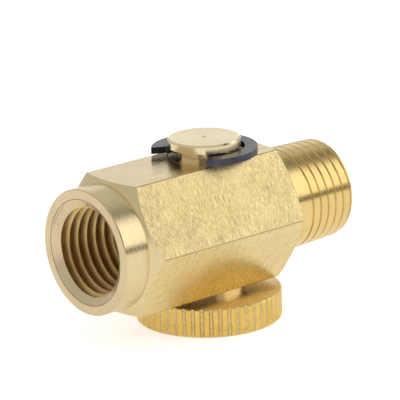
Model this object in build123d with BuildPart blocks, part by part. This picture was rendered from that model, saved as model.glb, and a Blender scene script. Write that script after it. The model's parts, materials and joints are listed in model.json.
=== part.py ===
"""In-line air flow control valve: a hexagonal brass body crossed by a rotary throttle stem.

Units are millimetres. The origin is the centre of the inlet port's mouth, +X runs along the pipe
towards the outlet, and +Z runs up the stem from its thumbwheel to its clipped end.
"""

from build123d import *

import os
from math import atan2, ceil, cos, degrees, radians, sin, sqrt, tan

# Hexagonal body, turned down at both ends
ACROSS_FLATS = 17.46
HALF_FLATS = ACROSS_FLATS / 2
CORNER_RADIUS = HALF_FLATS / cos(radians(30))
EDGE_BREAK = 0.16
COLLAR_RADIUS = 8.3
COLLAR_END_X = 3.8
COLLAR_EDGE = 0.1
SHOULDER_X = 29.8
SHOULDER_RADIUS = 8.2
HEX_CHAMFER_SLOPE = tan(radians(30))
OUTLET_END_X = 41.3
PASSAGE_RADIUS = 3.0

# Taper pipe thread, 1/4 inch size, 18 turns to the inch
PITCH = 25.4 / 18
TAPER_ANGLE = 1.79
TAPER = tan(radians(TAPER_ANGLE))
FLANK_SLOPE = tan(radians(30))
ROOT_FLAT = 0.12
CUTTER_LIFT = 0.12

# Inlet port: a drilled hole, reamed to the pipe taper and tapped
DRILL_RADIUS = 5.4
DRILL_DEPTH = 13.6
DRILL_POINT_SLOPE = tan(radians(59))
REAM_DEPTH = 11.2
INLET_CREST_RADIUS = 5.8
INLET_GROOVE_DEPTH = 0.95
INLET_THREAD_START_X = -1.02
INLET_THREAD_END_X = 10.0
COUNTERSINK_RADIUS = 7.0
COUNTERSINK_SLOPE = tan(radians(60))

# Outlet spigot: a tapered blank with a plain land at its root
LAND_RADIUS = 7.08
LAND_END_X = 31.0
SPIGOT_CHAMFER = 0.4
OUTLET_GROOVE_DEPTH = 0.2
OUTLET_THREAD_START_X = 33.23
OUTLET_BORE_RADIUS = 4.0
OUTLET_BORE_START_X = 27.4
BORE_EDGE = 0.4

# Stem, and the hole through the body that it turns in
STEM_X = 20.7
STEM_RADIUS = 4.85
STEM_BORE_RADIUS = 4.9
STEM_BORE_EDGE = 0.15
STEM_TOP_Z = 11.24
STEM_TOP_EDGE = 0.22
HEAD_BOTTOM_Z = 10.12
NECK_RADIUS = 3.5
NECK_BOTTOM_Z = 8.7
PORT_RADIUS = 2.75
CENTRE_MARK_RADIUS = 0.3
CENTRE_MARK_DEPTH = 0.2

# O-rings, drawn squeezed in their grooves
SEAL_Z = 5.6
SEAL_GROOVE_WIDTH = 1.8
SEAL_GROOVE_RADIUS = 3.7
SEAL_INNER_RADIUS = 3.72
SEAL_OUTER_RADIUS = 4.88
SEAL_WIDTH = 1.5
SEAL_ROUND = 0.5

# Thumbwheel, turned in one piece with the stem
WHEEL_RADIUS = 9.72
WHEEL_TOP_Z = -9.5
WHEEL_BOTTOM_Z = -13.32
WHEEL_EDGE = 0.14
KNURL_COUNT = 50
KNURL_DEPTH = 0.18
KNURL_MOUTH = 0.62
KNURL_ROOT = 0.3

# Retaining ring, the E shape made for a 7 mm neck
RING_RADIUS = 7.0
RING_THICKNESS = 0.9
RING_BOTTOM_Z = 9.05
RING_GRIP_RADIUS = 3.52
RING_RELIEF_RADIUS = 5.35
RING_LUG_WIDTH = 2.6
RING_LUG_OVERLAP = 0.3
RING_SIDE_LUG_ANGLE = 66
RING_MOUTH_GAP = 5.84
RING_MOUTH_HALF_ANGLE = radians(45)
RING_MOUTH_DIRECTION = radians(185)
RING_MOUTH_OVERRUN = 1.0

PIPE_PROFILE_PLANE = Plane.XZ
STEM_PROFILE_PLANE = Plane(origin=(STEM_X, 0, 0), x_dir=(1, 0, 0), z_dir=(0, -1, 0))
STEM_AXIS = Axis((STEM_X, 0, 0), (0, 0, 1))


def thread_cutters(start_x, end_x, crest_radius, groove_depth, side):
    """A helical V groove along the pipe axis, as a run of half-turn solids to cut away in order.

    crest_radius is the radius of the threaded surface at start_x. It shrinks towards +X with the
    pipe taper. side is 1 for a tapped hole, whose groove points outward, and -1 for a spigot.
    """
    half_pitch = PITCH / 2
    reach = groove_depth + CUTTER_LIFT
    half_mouth = ROOT_FLAT / 2 + reach * FLANK_SLOPE
    cutters = []
    for half_turn in range(ceil((end_x - start_x) / half_pitch)):
        begin_x = start_x + half_turn * half_pitch
        with BuildPart() as cutter:
            with BuildLine():
                path = Helix(
                    pitch=PITCH,
                    height=half_pitch,
                    radius=crest_radius + side * groove_depth - half_turn * half_pitch * TAPER,
                    center=(begin_x, 0, 0),
                    direction=(1, 0, 0),
                    cone_angle=-TAPER_ANGLE,
                )
            start = path @ 0
            radial = Vector(0, start.Y, start.Z).normalized()
            with BuildSketch(Plane(origin=start, x_dir=radial, z_dir=path % 0)):
                with BuildLine():
                    Polyline(
                        (0, -ROOT_FLAT / 2),
                        (0, ROOT_FLAT / 2),
                        (-side * reach, half_mouth),
                        (-side * reach, -half_mouth),
                        close=True,
                    )
                make_face()
            sweep(path=path, is_frenet=True)
        cutters.append(cutter.part.rotate(Axis.X, 180 * half_turn))
    return cutters


def make_valve_body():
    """Hexagonal bar with a collar, a threaded spigot, the two ports and the hole for the stem."""
    hex_rise = CORNER_RADIUS - COLLAR_RADIUS
    shoulder_rise = CORNER_RADIUS - SHOULDER_RADIUS
    spigot_end_radius = LAND_RADIUS - (OUTLET_END_X - LAND_END_X) * TAPER
    inlet_cutters = thread_cutters(
        INLET_THREAD_START_X,
        INLET_THREAD_END_X,
        INLET_CREST_RADIUS - INLET_THREAD_START_X * TAPER,
        INLET_GROOVE_DEPTH,
        side=1,
    )
    outlet_cutters = thread_cutters(
        OUTLET_THREAD_START_X,
        OUTLET_END_X + PITCH / 2,
        LAND_RADIUS - (OUTLET_THREAD_START_X - LAND_END_X) * TAPER,
        OUTLET_GROOVE_DEPTH,
        side=-1,
    )
    with BuildPart() as body:
        # Hexagonal bar with broken edges
        with BuildSketch(Plane.YZ.offset(COLLAR_END_X)):
            RegularPolygon(HALF_FLATS, 6, major_radius=False)
        extrude(amount=SHOULDER_X - COLLAR_END_X)
        fillet(body.edges().filter_by(Axis.X), EDGE_BREAK)

        # Cones turned on both ends of the bar
        with BuildSketch(PIPE_PROFILE_PLANE):
            with BuildLine():
                Polyline(
                    (COLLAR_END_X, 0),
                    (COLLAR_END_X, COLLAR_RADIUS),
                    (COLLAR_END_X + hex_rise * HEX_CHAMFER_SLOPE, CORNER_RADIUS),
                    (SHOULDER_X - shoulder_rise * HEX_CHAMFER_SLOPE, CORNER_RADIUS),
                    (SHOULDER_X, SHOULDER_RADIUS),
                    (SHOULDER_X, 0),
                    close=True,
                )
            make_face()
        revolve(axis=Axis.X, mode=Mode.INTERSECT)

        # Collar round the inlet, and the outlet spigot
        with BuildSketch(PIPE_PROFILE_PLANE):
            with BuildLine():
                Polyline(
                    (0, 0),
                    (0, COLLAR_RADIUS - COLLAR_EDGE),
                    (COLLAR_EDGE, COLLAR_RADIUS),
                    (COLLAR_END_X, COLLAR_RADIUS),
                    (COLLAR_END_X, 0),
                    close=True,
                )
            make_face()
            with BuildLine():
                Polyline(
                    (SHOULDER_X, 0),
                    (SHOULDER_X, LAND_RADIUS),
                    (LAND_END_X, LAND_RADIUS),
                    (OUTLET_END_X - SPIGOT_CHAMFER, spigot_end_radius + SPIGOT_CHAMFER * TAPER),
                    (OUTLET_END_X, spigot_end_radius - SPIGOT_CHAMFER),
                    (OUTLET_END_X, 0),
                    close=True,
                )
            make_face()
        revolve(axis=Axis.X)

        # Inlet port, passage and outlet bore
        sink_depth = (COUNTERSINK_RADIUS - INLET_CREST_RADIUS) / (COUNTERSINK_SLOPE - TAPER)
        drill_point = (DRILL_RADIUS - PASSAGE_RADIUS) / DRILL_POINT_SLOPE
        with BuildSketch(PIPE_PROFILE_PLANE):
            with BuildLine():
                Polyline(
                    (0, 0),
                    (0, COUNTERSINK_RADIUS),
                    (sink_depth, INLET_CREST_RADIUS - sink_depth * TAPER),
                    (REAM_DEPTH, INLET_CREST_RADIUS - REAM_DEPTH * TAPER),
                    (REAM_DEPTH, DRILL_RADIUS),
                    (DRILL_DEPTH, DRILL_RADIUS),
                    (DRILL_DEPTH + drill_point, PASSAGE_RADIUS),
                    (OUTLET_BORE_START_X, PASSAGE_RADIUS),
                    (OUTLET_BORE_START_X, OUTLET_BORE_RADIUS),
                    (OUTLET_END_X - BORE_EDGE, OUTLET_BORE_RADIUS),
                    (OUTLET_END_X, OUTLET_BORE_RADIUS + BORE_EDGE),
                    (OUTLET_END_X, 0),
                    close=True,
                )
            make_face()
        revolve(axis=Axis.X, mode=Mode.SUBTRACT)

        # Threads
        for cutter in inlet_cutters + outlet_cutters:
            add(cutter, mode=Mode.SUBTRACT)

        # Hole for the stem, with both mouths broken
        bore_mouth = STEM_BORE_RADIUS + STEM_BORE_EDGE
        with BuildSketch(STEM_PROFILE_PLANE):
            with BuildLine():
                Polyline(
                    (0, -HALF_FLATS),
                    (bore_mouth, -HALF_FLATS),
                    (STEM_BORE_RADIUS, STEM_BORE_EDGE - HALF_FLATS),
                    (STEM_BORE_RADIUS, HALF_FLATS - STEM_BORE_EDGE),
                    (bore_mouth, HALF_FLATS),
                    (0, HALF_FLATS),
                    close=True,
                )
            make_face()
        revolve(axis=STEM_AXIS, mode=Mode.SUBTRACT)
    body.part.label = "valve_body"
    return body.part


def make_throttle_stem():
    """Cross-drilled stem with its knurled thumbwheel, two seal grooves and the clip's neck."""
    groove_low = SEAL_Z - SEAL_GROOVE_WIDTH / 2
    groove_high = SEAL_Z + SEAL_GROOVE_WIDTH / 2
    with BuildPart() as stem:
        # Thumbwheel
        with BuildSketch(Plane(origin=(STEM_X, 0, WHEEL_BOTTOM_Z))):
            Circle(WHEEL_RADIUS)
            with PolarLocations(WHEEL_RADIUS, KNURL_COUNT):
                Trapezoid(
                    width=2 * KNURL_MOUTH - KNURL_ROOT,
                    height=2 * KNURL_DEPTH,
                    left_side_angle=degrees(atan2(2 * KNURL_DEPTH, KNURL_MOUTH - KNURL_ROOT)),
                    rotation=90,
                    mode=Mode.SUBTRACT,
                )
        extrude(amount=WHEEL_TOP_Z - WHEEL_BOTTOM_Z)
        with BuildSketch(STEM_PROFILE_PLANE):
            with BuildLine():
                Polyline(
                    (0, WHEEL_BOTTOM_Z),
                    (WHEEL_RADIUS - WHEEL_EDGE, WHEEL_BOTTOM_Z),
                    (WHEEL_RADIUS, WHEEL_BOTTOM_Z + WHEEL_EDGE),
                    (WHEEL_RADIUS, WHEEL_TOP_Z - WHEEL_EDGE),
                    (WHEEL_RADIUS - WHEEL_EDGE, WHEEL_TOP_Z),
                    (0, WHEEL_TOP_Z),
                    close=True,
                )
            make_face()
        revolve(axis=STEM_AXIS, mode=Mode.INTERSECT)

        # Turned shaft, from the wheel up to the clipped end
        with BuildSketch(STEM_PROFILE_PLANE):
            with BuildLine():
                Polyline(
                    (0, WHEEL_TOP_Z),
                    (STEM_RADIUS, WHEEL_TOP_Z),
                    (STEM_RADIUS, -groove_high),
                    (SEAL_GROOVE_RADIUS, -groove_high),
                    (SEAL_GROOVE_RADIUS, -groove_low),
                    (STEM_RADIUS, -groove_low),
                    (STEM_RADIUS, groove_low),
                    (SEAL_GROOVE_RADIUS, groove_low),
                    (SEAL_GROOVE_RADIUS, groove_high),
                    (STEM_RADIUS, groove_high),
                    (STEM_RADIUS, NECK_BOTTOM_Z),
                    (NECK_RADIUS, NECK_BOTTOM_Z),
                    (NECK_RADIUS, HEAD_BOTTOM_Z),
                    (STEM_RADIUS, HEAD_BOTTOM_Z),
                    (STEM_RADIUS, STEM_TOP_Z - STEM_TOP_EDGE),
                    (STEM_RADIUS - STEM_TOP_EDGE, STEM_TOP_Z),
                    (0, STEM_TOP_Z),
                    close=True,
                )
            make_face()
        revolve(axis=STEM_AXIS)

        # Port across the shaft, in line with the pipe when the valve is open
        with BuildSketch(Plane.YZ.offset(STEM_X - STEM_RADIUS)):
            Circle(PORT_RADIUS)
        extrude(amount=2 * STEM_RADIUS, mode=Mode.SUBTRACT)

        # Centre marks left by the lathe
        for end_z, toward in ((STEM_TOP_Z, -1), (WHEEL_BOTTOM_Z, 1)):
            with BuildSketch(STEM_PROFILE_PLANE):
                with BuildLine():
                    Polyline(
                        (0, end_z),
                        (CENTRE_MARK_RADIUS, end_z),
                        (0, end_z + toward * CENTRE_MARK_DEPTH),
                        close=True,
                    )
                make_face()
            revolve(axis=STEM_AXIS, mode=Mode.SUBTRACT)
    stem.part.label = "throttle_stem"
    return stem.part


def make_retaining_ring():
    """Flat E-shaped ring that snaps on the stem's neck through its flared mouth."""
    half_gap = RING_MOUTH_GAP / 2
    lip = sqrt(RING_GRIP_RADIUS**2 - half_gap**2)
    reach = RING_RADIUS + RING_MOUTH_OVERRUN
    flare = (reach * cos(RING_MOUTH_HALF_ANGLE), reach * sin(RING_MOUTH_HALF_ANGLE))
    mouth_axis = (cos(RING_MOUTH_DIRECTION), sin(RING_MOUTH_DIRECTION), 0)
    with BuildPart() as ring:
        with BuildSketch(Plane((STEM_X, 0, RING_BOTTOM_Z), mouth_axis, (0, 0, 1))) as outline:
            Circle(RING_RADIUS)
            Circle(RING_RELIEF_RADIUS, mode=Mode.SUBTRACT)
            for turn in (180, RING_SIDE_LUG_ANGLE, -RING_SIDE_LUG_ANGLE):
                with Locations(Location((0, 0, 0), (0, 0, turn))):
                    with Locations((RING_RELIEF_RADIUS / 2 + RING_LUG_OVERLAP, 0)):
                        Rectangle(RING_RELIEF_RADIUS, RING_LUG_WIDTH)
            Circle(RING_GRIP_RADIUS, mode=Mode.SUBTRACT)
            with BuildLine():
                Polyline(
                    (0, half_gap),
                    (lip, half_gap),
                    flare,
                    (2 * RING_RADIUS, 0),
                    (flare[0], -flare[1]),
                    (lip, -half_gap),
                    (0, -half_gap),
                    close=True,
                )
            make_face(mode=Mode.SUBTRACT)
        extrude(amount=RING_THICKNESS)
    ring.part.label = "retaining_ring"
    return ring.part


def make_o_ring(name, centre_z):
    """Rubber O-ring, squeezed between its groove and the stem's hole."""
    with BuildPart() as seal:
        with BuildSketch(STEM_PROFILE_PLANE) as section:
            with Locations(((SEAL_INNER_RADIUS + SEAL_OUTER_RADIUS) / 2, centre_z)):
                Rectangle(SEAL_OUTER_RADIUS - SEAL_INNER_RADIUS, SEAL_WIDTH)
            fillet(section.vertices(), SEAL_ROUND)
        revolve(axis=STEM_AXIS)
    seal.part.label = name
    return seal.part


def main():
    os.makedirs("parts", exist_ok=True)
    pieces = [
        make_valve_body(),
        make_throttle_stem(),
        make_retaining_ring(),
        make_o_ring("upper_o_ring", SEAL_Z),
        make_o_ring("lower_o_ring", -SEAL_Z),
    ]
    for piece in pieces:
        export_step(piece, f"parts/{piece.label}.step")
        print(piece.label, "solids", len(piece.solids()), "volume", round(piece.volume, 1))


main()
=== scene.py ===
"""Looks of an in-line air flow control valve: machined brass, black oxide steel and rubber seals.

Lengths are metres. +X runs along the pipe, +Z up the stem, and the origin is the inlet's mouth.
"""

import json
from math import cos, hypot, pi, radians, sin

import bpy
from mathutils import Matrix, Vector


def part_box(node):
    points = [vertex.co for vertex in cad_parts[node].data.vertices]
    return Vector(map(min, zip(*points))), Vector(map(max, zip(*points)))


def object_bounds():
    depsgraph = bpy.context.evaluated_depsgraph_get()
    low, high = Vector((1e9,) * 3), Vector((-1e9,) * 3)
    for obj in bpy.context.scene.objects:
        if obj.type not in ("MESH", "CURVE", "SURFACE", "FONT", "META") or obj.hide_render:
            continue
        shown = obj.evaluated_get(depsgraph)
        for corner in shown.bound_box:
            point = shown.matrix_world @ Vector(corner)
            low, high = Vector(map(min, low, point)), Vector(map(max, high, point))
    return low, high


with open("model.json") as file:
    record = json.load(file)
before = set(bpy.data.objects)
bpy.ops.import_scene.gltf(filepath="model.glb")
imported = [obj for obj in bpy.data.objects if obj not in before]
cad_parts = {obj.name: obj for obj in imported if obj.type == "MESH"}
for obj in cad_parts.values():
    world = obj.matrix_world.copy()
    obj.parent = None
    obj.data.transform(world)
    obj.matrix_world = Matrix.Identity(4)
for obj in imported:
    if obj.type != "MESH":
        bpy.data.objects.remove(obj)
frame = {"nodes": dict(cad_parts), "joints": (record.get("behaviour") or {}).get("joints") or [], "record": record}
cad_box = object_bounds()

BODY = frame["nodes"]["valve_body"]
STEM = frame["nodes"]["throttle_stem"]
RING = frame["nodes"]["retaining_ring"]
SEALS = [frame["nodes"]["upper_o_ring"], frame["nodes"]["lower_o_ring"]]

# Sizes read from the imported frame
STEM_X = frame["joints"][0]["pos_m"][0]
STEM_LOW, STEM_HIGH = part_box("throttle_stem")
OUTLET_LAND = next(mount for mount in frame["record"]["mounts"] if mount["name"] == "outlet_land")
HALF_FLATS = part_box("valve_body")[1].z
SPIGOT_START_X = OUTLET_LAND["pos_m"][0] - OUTLET_LAND["dims"]["length_mm"] / 2000
WHEEL_RADIUS = (STEM_HIGH.x - STEM_LOW.x) / 2

# Places and directions that sort the faces by material
COUNTERSINK_RADIUS = 0.0070
MOUTH_DEPTH = 0.0008
MOUTH_NORMAL_X = -0.2
SPIGOT_LIMIT_X = SPIGOT_START_X - 1e-5
OUTLET_BORE_LIMIT = 0.0046
STEM_HOLE_LIMIT = 0.00505
STEM_HOLE_NORMAL_Z = 0.9
RIM_LIMIT = WHEEL_RADIUS - 0.0005
RIM_NORMAL_Z = 0.5
FLAT_LIMIT = HALF_FLATS * 0.99
FLAT_NORMAL_X = 0.02
TOP_NORMAL_Z = 0.99
SIDE_NORMAL_Z = 0.5
SIDE_TOLERANCE = 0.03

# Radii between which the knurl changes from the paler groove colour, partly painted light, to the crest colour
KNURL_ROOT_RADIUS = WHEEL_RADIUS - 0.00022
KNURL_CREST_RADIUS = WHEEL_RADIUS - 0.00005

# Colours of the metals, linear. The brass is one metal; its colour is set per face, partly for tarnish and finish
# and partly as painted light and shade for how much light each face catches
UPPER_BRASS = (0.90, 0.73, 0.37)
LOWER_BRASS = (0.84, 0.68, 0.34)
TOP_BRASS = (0.76, 0.61, 0.34)
TURNED_BRASS = (0.76, 0.62, 0.35)
SPIGOT_BRASS = (0.78, 0.58, 0.24)
MOUTH_BRASS = (0.70, 0.56, 0.34)
BORE_BRASS = (0.82, 0.58, 0.24)
STEM_BRASS = (0.82, 0.68, 0.42)
# Painted shade: the broken edges are coloured far darker than the brass beside them, for a dark line along each
# edge
EDGE_SHADE_BRASS = (0.46, 0.35, 0.17)
WHEEL_BRASS = (0.80, 0.62, 0.30)
KNURL_BRASS = (0.82, 0.57, 0.16)
# Partly painted light: paler than the crests so the grooves do not read dark
KNURL_GROOVE_BRASS = (0.90, 0.75, 0.42)

# Other colours, linear
BLUED_DARK = (0.040, 0.043, 0.062)
BLUED_LIGHT = (0.078, 0.074, 0.088)
WORN_STEEL = (0.22, 0.21, 0.22)
RUBBER_DARK = (0.012, 0.012, 0.013)
RUBBER_LIGHT = (0.030, 0.029, 0.028)

# Depths of the bumps, and the half-width and fade of the dark line at the countersink's edge, in metres
RING_DEPTH = 6e-6
GRAIN_DEPTH = 2.6e-5
BORE_DEPTH = 1e-5
TORN_DEPTH = 2.2e-5
DUST_DEPTH = 5e-6
SKIN_DEPTH = 6e-6
DARK_LINE = (0.00003, 0.00009)

# Camera and studio
TARGET = Vector((STEM_X, 0, 0))
CAMERA_AZIMUTH = -40.9
CAMERA_ELEVATION = 16.75
CAMERA_ROLL = -1.73
CAMERA_DISTANCE = 0.385
CAMERA_LENS = 262.3
CAMERA_SHIFT = (-0.0163, 0.0467)
FLOOR_REACH = 3.0
FLOOR_DROP = 0.0001
SHEEN_LIFT = 0.00005
WORLD_COLOUR = (1.0, 0.995, 0.98, 1)
WORLD_STRENGTH = 0.66


# ---------------------------------------------------------------- node helpers

class Shader:
    """A Principled material under construction, with short ways to add and join its nodes."""

    def __init__(self, name):
        self.material = bpy.data.materials.new(name)
        self.material.use_nodes = True
        self.tree = self.material.node_tree
        self.principled = self.tree.nodes["Principled BSDF"]

    def add(self, kind, inputs=None, **settings):
        node = self.tree.nodes.new(kind)
        for key, value in settings.items():
            setattr(node, key, value)
        for key, value in (inputs or {}).items():
            self.put(node.inputs[key], value)
        return node

    def put(self, socket, value):
        if isinstance(value, bpy.types.NodeSocket):
            self.tree.links.new(value, socket)
        else:
            socket.default_value = value

    def set(self, **inputs):
        for key, value in inputs.items():
            self.put(self.principled.inputs[key.replace("_", " ")], value)

    def position(self):
        return self.add("ShaderNodeTexCoord").outputs["Object"]

    def scaled(self, vector, scale, turn=(0, 0, 0)):
        """Coordinates for a noise with scale features to the metre along X, Y and Z."""
        mapping = self.add("ShaderNodeMapping", {"Vector": vector, "Scale": scale, "Rotation": turn})
        return mapping.outputs["Vector"]

    def noise(self, vector, detail=2.0, roughness=0.5):
        node = self.add(
            "ShaderNodeTexNoise",
            {"Vector": vector, "Scale": 1.0, "Detail": detail, "Roughness": roughness},
        )
        return node.outputs["Fac"]

    def math(self, operation, first, second=0.0):
        node = self.add("ShaderNodeMath", {0: first, 1: second}, operation=operation)
        return node.outputs["Value"]

    def remap(self, value, low, high, to_low=0.0, to_high=1.0):
        node = self.add(
            "ShaderNodeMapRange",
            {"Value": value, "From Min": low, "From Max": high, "To Min": to_low, "To Max": to_high},
        )
        return node.outputs["Result"]

    def mix(self, factor, first, second):
        node = self.add("ShaderNodeMix", data_type="RGBA")
        self.put(node.inputs["Factor"], factor)
        self.put(node.inputs["A"], first if isinstance(first, bpy.types.NodeSocket) else (*first, 1))
        self.put(node.inputs["B"], second if isinstance(second, bpy.types.NodeSocket) else (*second, 1))
        return node.outputs["Result"]

    def bump(self, height, distance, strength):
        node = self.add("ShaderNodeBump", {"Height": height, "Distance": distance, "Strength": strength})
        return node.outputs["Normal"]

    def radial_coordinates(self, axis_x=None):
        """(distance along the axis, radius) about the pipe axis, or about the stem's if axis_x is given."""
        parts = self.add("ShaderNodeSeparateXYZ", {"Vector": self.position()})
        if axis_x is None:
            along, across, other = parts.outputs["X"], parts.outputs["Y"], parts.outputs["Z"]
        else:
            along, other = parts.outputs["Z"], parts.outputs["Y"]
            across = self.math("SUBTRACT", parts.outputs["X"], axis_x)
        squares = self.math("ADD", self.math("MULTIPLY", across, across), self.math("MULTIPLY", other, other))
        return along, self.math("SQRT", squares)


def darker(colour, share):
    """The colour at this share of its brightness, slightly browner, as brass goes in its own shadows."""
    red, green, blue = colour
    return (red * share, green * share**1.12, blue * share**1.3)


# ---------------------------------------------------------------- materials

def turned_brass(name, colour, roughness, axis_x=None, groove=1.0, tarnish=0.12, line=None):
    """Lathe-turned brass: fine rings round its axis, a highlight stretched across them, faint stains.

    groove deepens the rings. line adds one dark line at that radius.
    """
    shader = Shader(name)
    along, radius = shader.radial_coordinates(axis_x)
    rings = shader.add("ShaderNodeCombineXYZ", {"X": along, "Y": radius}).outputs["Vector"]
    coarse = shader.noise(shader.scaled(rings, (5200, 5200, 1)), detail=3, roughness=0.7)
    fine = shader.noise(shader.scaled(rings, (16000, 16000, 1)), detail=2)
    stains = shader.noise(shader.scaled(shader.position(), (260, 260, 260)), detail=4, roughness=0.6)
    specks = shader.noise(shader.scaled(shader.position(), (2600, 2600, 2600)), detail=2)
    stained = shader.mix(shader.remap(stains, 0.45, 0.8, 0, tarnish), colour, darker(colour, 0.55))
    ringed = shader.mix(shader.remap(coarse, 0.52, 0.75, 0, 0.22), stained, darker(colour, 0.62))
    if line is not None:
        off_line = shader.math("ABSOLUTE", shader.math("SUBTRACT", radius, line))
        ringed = shader.mix(shader.remap(off_line, *DARK_LINE, 0.75, 0.0), ringed, darker(colour, 0.25))
    rough = shader.math(
        "ADD",
        shader.remap(coarse, 0.3, 0.7, roughness - 0.05, roughness + 0.06),
        shader.remap(specks, 0.5, 0.8, 0, 0.06),
    )
    ridges = shader.math("ADD", coarse, shader.math("MULTIPLY", fine, 0.5))
    normal = shader.bump(ridges, RING_DEPTH * groove, 0.6)
    around = "X" if axis_x is None else "Z"
    tangent = shader.add("ShaderNodeTangent", direction_type="RADIAL", axis=around).outputs["Tangent"]
    shader.set(Base_Color=ringed, Metallic=1.0, Roughness=rough, Normal=normal, Tangent=tangent)
    shader.set(Anisotropic=0.65, Anisotropic_Rotation=0.25)
    return shader.material


def flat_brass(name, colour, roughness, grain, streaks, polish=0.0, scratch=0.0):
    """Milled or drawn brass. grain scales the tool lines along X, Y and Z and streaks sets how deep they are.

    polish fades the pits and adds faint drawing lines along X. scratch adds handling marks along X.
    """
    shader = Shader(name)
    place = shader.position()
    lines = shader.noise(shader.scaled(place, grain), detail=3, roughness=0.7)
    pits = shader.noise(shader.scaled(place, (4600, 4600, 4600)), detail=3, roughness=0.75)
    clouds = shader.noise(shader.scaled(place, (150, 150, 150)), detail=3)
    zones = shader.noise(shader.scaled(place, (260, 160, 160)), detail=2)
    drawn = shader.noise(shader.scaled(place, (90, 7000, 7000)), detail=3, roughness=0.7)
    region = shader.noise(shader.scaled(place, (55, 260, 260), (0.02, 0, 0)), detail=1)
    depth = shader.remap(zones, 0.36, 0.62, 0.70, 1.0)
    cut = shader.math("MULTIPLY", shader.remap(lines, 0.36, 0.66), depth)
    pitted = shader.math("MULTIPLY", shader.remap(pits, 0.40, 0.66), 1.0 - polish)
    worked = shader.math("ADD", shader.math("MULTIPLY", cut, 0.75), shader.math("MULTIPLY", pitted, 0.25))
    marks = shader.math("MULTIPLY", shader.remap(drawn, 0.60, 0.70), shader.remap(region, 0.52, 0.62))
    marks = shader.math("MULTIPLY", marks, scratch)
    tinted = shader.mix(shader.remap(clouds, 0.35, 0.7, 0, 0.35), colour, darker(colour, 0.88))
    grained = shader.mix(shader.math("MULTIPLY", worked, streaks), tinted, darker(colour, 0.42))
    faintly = shader.mix(shader.remap(drawn, 0.45, 0.7, 0, 0.30 * polish), grained, darker(colour, 0.60))
    scored = shader.mix(shader.math("MULTIPLY", marks, 0.35), faintly, darker(colour, 0.45))
    rough = shader.math(
        "ADD",
        shader.remap(lines, 0.3, 0.7, roughness - 0.06, roughness + 0.08),
        shader.remap(pits, 0.3, 0.7, -0.02, 0.03),
    )
    drawn_height = shader.math("MULTIPLY", drawn, polish)
    height = shader.math("SUBTRACT", shader.math("ADD", worked, drawn_height), marks)
    normal = shader.bump(height, GRAIN_DEPTH * (1.0 - 0.6 * polish), 0.8)
    shader.set(Base_Color=scored, Metallic=1.0, Roughness=rough, Normal=normal)
    return shader.material


def bore_brass(name, colour, roughness):
    """Brass inside the drilled and tapped holes: oily, darker, cut in rings."""
    shader = Shader(name)
    along, radius = shader.radial_coordinates()
    rings = shader.add("ShaderNodeCombineXYZ", {"X": along, "Y": radius}).outputs["Vector"]
    cuts = shader.noise(shader.scaled(rings, (7000, 7000, 1)), detail=3, roughness=0.7)
    oil = shader.noise(shader.scaled(shader.position(), (500, 500, 500)), detail=4)
    tinted = shader.mix(shader.remap(oil, 0.35, 0.7, 0, 0.45), colour, darker(colour, 0.5))
    rough = shader.remap(cuts, 0.3, 0.7, roughness - 0.06, roughness + 0.08)
    shader.set(Base_Color=tinted, Metallic=1.0, Roughness=rough, Normal=shader.bump(cuts, BORE_DEPTH, 0.6))
    return shader.material


def knurl_brass(name, colour, groove_colour, roughness):
    """Knurled rim: pressed grooves with a torn skin between smoother golden crests; the grooves are coloured paler
    and greyer, partly the torn skin's own tone and partly painted light that keeps them from reading dark.
    """
    shader = Shader(name)
    radius = shader.radial_coordinates(STEM_X)[1]
    crest = shader.remap(radius, KNURL_ROOT_RADIUS, KNURL_CREST_RADIUS)
    torn = shader.noise(shader.scaled(shader.position(), (7000, 7000, 3000)), detail=4, roughness=0.75)
    drawn = shader.noise(shader.scaled(shader.position(), (2500, 2500, 700)), detail=3, roughness=0.6)
    # Partly painted light: the groove colour is paler than the crest's
    groove_skin_and_light = shader.mix(shader.remap(torn, 0.40, 0.62), darker(groove_colour, 0.55), groove_colour)
    crest_skin = shader.mix(shader.remap(drawn, 0.42, 0.66, 0, 0.6), colour, darker(colour, 0.72))
    rough = shader.math(
        "ADD",
        shader.remap(crest, 0, 1, roughness + 0.16, roughness),
        shader.remap(torn, 0.3, 0.7, -0.04, 0.05),
    )
    shader.set(Base_Color=shader.mix(crest, groove_skin_and_light, crest_skin), Metallic=1.0, Roughness=rough)
    shader.set(Normal=shader.bump(torn, TORN_DEPTH, 0.7))
    return shader.material


def oxide_steel(name):
    """Blued spring steel, stamped flat: blue-black with a dusty, faintly scuffed face."""
    shader = Shader(name)
    place = shader.position()
    dust = shader.noise(shader.scaled(place, (2200, 2200, 2200)), detail=4, roughness=0.7)
    clouds = shader.noise(shader.scaled(place, (380, 380, 380)), detail=3)
    scuffs = shader.noise(shader.scaled(place, (400, 8000, 400), (0, 0, 0.4)), detail=2)
    blued = shader.mix(shader.remap(clouds, 0.35, 0.7), BLUED_DARK, BLUED_LIGHT)
    worn = shader.mix(shader.remap(scuffs, 0.62, 0.75, 0, 0.5), blued, WORN_STEEL)
    rough = shader.remap(dust, 0.3, 0.7, 0.18, 0.34)
    normal = shader.bump(dust, DUST_DEPTH, 0.5)
    shader.set(Base_Color=worn, Metallic=0.85, Roughness=rough, Normal=normal)
    return shader.material


def seal_rubber(name):
    """Nitrile rubber: near black, greased, with a fine moulded skin."""
    shader = Shader(name)
    place = shader.position()
    skin = shader.noise(shader.scaled(place, (6000, 6000, 6000)), detail=3)
    grease = shader.noise(shader.scaled(place, (500, 500, 500)), detail=2)
    rough = shader.remap(grease, 0.35, 0.65, 0.28, 0.60)
    normal = shader.bump(skin, SKIN_DEPTH, 0.5)
    shader.set(Base_Color=shader.mix(skin, RUBBER_DARK, RUBBER_LIGHT), Roughness=rough, Normal=normal)
    return shader.material


# ---------------------------------------------------------------- which face gets which metal

def paint(node, materials, choose):
    """Gives each face of a node the material that choose(centre, normal) names."""
    node.data.materials.clear()
    names = list(materials)
    for name in names:
        node.data.materials.append(materials[name])
    for face in node.data.polygons:
        face.material_index = names.index(choose(face.center, face.normal))


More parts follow.
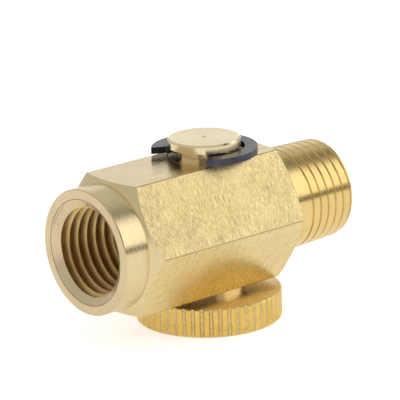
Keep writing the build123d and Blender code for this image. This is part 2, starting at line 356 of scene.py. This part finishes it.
def choose_body(centre, normal):
    """Flats, broken edges, turned ends, mouth, spigot or bores, from a face's place and direction."""
    radius = hypot(centre.y, centre.z)
    outward = centre.y * normal.y + centre.z * normal.z
    if hypot(centre.x - STEM_X, centre.y) < STEM_HOLE_LIMIT and abs(normal.z) < STEM_HOLE_NORMAL_Z:
        return "bore"
    if centre.x < MOUTH_DEPTH and normal.x < MOUTH_NORMAL_X:
        return "mouth"
    if radius < COUNTERSINK_RADIUS and centre.x < SPIGOT_START_X and (outward < 0 or centre.x > MOUTH_DEPTH):
        return "bore"
    if centre.x > SPIGOT_LIMIT_X:
        return "bore" if outward < 0 and radius < OUTLET_BORE_LIMIT else "spigot"
    if abs(normal.x) < FLAT_NORMAL_X and radius > FLAT_LIMIT:
        if abs(normal.z) > TOP_NORMAL_Z:
            return "top_flat"
        # Broken edges between the flats, which get a painted shade line
        if abs(abs(normal.z) - SIDE_NORMAL_Z) > SIDE_TOLERANCE:
            return "edge"
        return "upper_flat" if normal.z > 0 else "lower_flat"
    return "turned"


def choose_stem(centre, normal):
    """Knurled rim, the rest of the wheel, or the shaft and its head."""
    if hypot(centre.x - STEM_X, centre.y) > RIM_LIMIT and abs(normal.z) < RIM_NORMAL_Z:
        return "knurl"
    return "wheel" if centre.z < -HALF_FLATS else "head"


def finish_parts():
    # Each brass face's colour carries painted light and shade as well as its own tone
    paint(
        BODY,
        {
            "upper_flat": flat_brass(
                "brass_upper_flat", UPPER_BRASS, 0.34, grain=(9000, 1300, 1300), streaks=1.0, scratch=0.3
            ),
            "lower_flat": flat_brass(
                "brass_lower_flat", LOWER_BRASS, 0.27, grain=(1900, 900, 900), streaks=0.30, polish=0.8
            ),
            "top_flat": flat_brass(
                "brass_top_flat", TOP_BRASS, 0.18, grain=(420, 3200, 900), streaks=0.25, polish=0.6
            ),
            # The broken edges: painted shade line
            "edge": turned_brass("brass_edge_shade", EDGE_SHADE_BRASS, 0.30),
            "turned": turned_brass("brass_turned", TURNED_BRASS, 0.24),
            "spigot": turned_brass("brass_spigot", SPIGOT_BRASS, 0.22, groove=1.2, tarnish=0.3),
            "mouth": turned_brass(
                "brass_mouth", MOUTH_BRASS, 0.26, groove=2.0, tarnish=0.3, line=COUNTERSINK_RADIUS
            ),
            "bore": bore_brass("brass_bore", BORE_BRASS, 0.38),
        },
        choose_body,
    )
    paint(
        STEM,
        {
            "head": turned_brass("brass_head", STEM_BRASS, 0.18, axis_x=STEM_X),
            "wheel": turned_brass("brass_wheel", WHEEL_BRASS, 0.24, axis_x=STEM_X, groove=2.0, tarnish=0.3),
            "knurl": knurl_brass("brass_knurl", KNURL_BRASS, KNURL_GROOVE_BRASS, 0.28),
        },
        choose_stem,
    )
    paint(RING, {"oxide": oxide_steel("black_oxide_steel")}, lambda centre, normal: "oxide")
    rubber = seal_rubber("nitrile_rubber")
    for seal in SEALS:
        paint(seal, {"rubber": rubber}, lambda centre, normal: "rubber")


# ---------------------------------------------------------------- studio

def toward(azimuth, elevation):
    """Unit vector from the object; azimuth 0 is -Y and 90 is +X."""
    a, e = radians(azimuth), radians(elevation)
    return Vector((sin(a) * cos(e), -cos(a) * cos(e), sin(e)))


def facing(location, target, roll=0.0):
    """Places something at location, looking at target along its own -Z."""
    turn = (target - location).to_track_quat("-Z", "Y").to_matrix().to_4x4()
    return Matrix.Translation(location) @ turn @ Matrix.Rotation(roll, 4, "Z")


def make_camera():
    data = bpy.data.cameras.new("camera")
    data.sensor_width = 36
    data.lens = CAMERA_LENS
    data.shift_x, data.shift_y = CAMERA_SHIFT
    data.clip_start = 0.01
    camera = bpy.data.objects.new("camera", data)
    bpy.context.scene.collection.objects.link(camera)
    place = TARGET + toward(CAMERA_AZIMUTH, CAMERA_ELEVATION) * CAMERA_DISTANCE
    camera.matrix_world = facing(place, TARGET, roll=radians(CAMERA_ROLL))
    bpy.context.scene.camera = camera


def add_softbox(name, azimuth, elevation, distance, width, height, radiance):
    """Rectangular soft light. Its power follows from the brightness that reflections should show."""
    data = bpy.data.lights.new(name, "AREA")
    data.shape = "RECTANGLE"
    data.size, data.size_y = width, height
    data.energy = radiance * pi * width * height
    light = bpy.data.objects.new(name, data)
    bpy.context.scene.collection.objects.link(light)
    light.matrix_world = facing(TARGET + toward(azimuth, elevation) * distance, TARGET)
    light.visible_camera = False


def add_sheet(name, width, height):
    """Flat rectangle round its own origin, with a plain material. Returns the object and its shader."""
    mesh = bpy.data.meshes.new(name)
    corners = [(sx * width / 2, sy * height / 2, 0) for sx, sy in ((-1, -1), (1, -1), (1, 1), (-1, 1))]
    mesh.from_pydata(corners, [], [(0, 1, 2, 3)])
    sheet = bpy.data.objects.new(name, mesh)
    bpy.context.scene.collection.objects.link(sheet)
    shader = Shader(name)
    mesh.materials.append(shader.material)
    return sheet, shader


def add_card(name, azimuth, elevation, distance, width, height, shade):
    """Plain card that shows only in reflections."""
    card, shader = add_sheet(name, width, height)
    card.matrix_world = facing(TARGET + toward(azimuth, elevation) * distance, TARGET)
    shader.set(Base_Color=(shade, shade, shade, 1), Roughness=1.0)
    card.visible_camera = False
    card.visible_shadow = False
    card.visible_diffuse = False


def add_floor(name, level, shade, glow):
    """Wide pale ground. glow lifts it to the flat white of a sweep that is lit from all round."""
    floor, shader = add_sheet(name, 2 * FLOOR_REACH, 2 * FLOOR_REACH)
    floor.location.z = level
    shader.set(Base_Color=(shade, shade, shade, 1), Roughness=0.9, Specular_IOR_Level=0.2)
    shader.set(Emission_Color=(1, 1, 1, 1), Emission_Strength=glow)
    return floor


def make_floor():
    """The ground that is seen, and a dimmer sheet just over it that only shows in the brass.

    Both lie a hair under the wheel, so that no two faces share a plane.
    """
    level = cad_box[0].z - FLOOR_DROP
    ground = add_floor("floor", level, shade=0.90, glow=0.54)
    ground.visible_glossy = False
    sheen = add_floor("floor_sheen", level + SHEEN_LIFT, shade=0.86, glow=0.42)
    sheen.visible_camera = False
    sheen.visible_diffuse = False
    sheen.visible_shadow = False


def make_world():
    world = bpy.data.worlds.new("studio")
    bpy.context.scene.world = world
    world.use_nodes = True
    background = world.node_tree.nodes["Background"]
    background.inputs["Color"].default_value = WORLD_COLOUR
    background.inputs["Strength"].default_value = WORLD_STRENGTH


def make_studio():
    make_floor()
    make_world()
    add_softbox("front_softbox", 50, 27, distance=0.60, width=0.90, height=0.40, radiance=0.84)
    add_softbox("back_softbox", 137, 17, distance=0.80, width=0.50, height=0.30, radiance=0.34)
    add_card("upper_flag", 60, 51, distance=0.58, width=1.0, height=0.085, shade=0.03)
    add_card("lower_flag", 50, 3.5, distance=0.62, width=1.0, height=0.085, shade=0.08)
    add_card("camera_flag", -41, 24, distance=0.60, width=0.55, height=0.30, shade=0.10)
    view = bpy.context.scene.view_settings
    view.view_transform = "Standard"
    view.look = "None"


finish_parts()
make_studio()
make_camera()
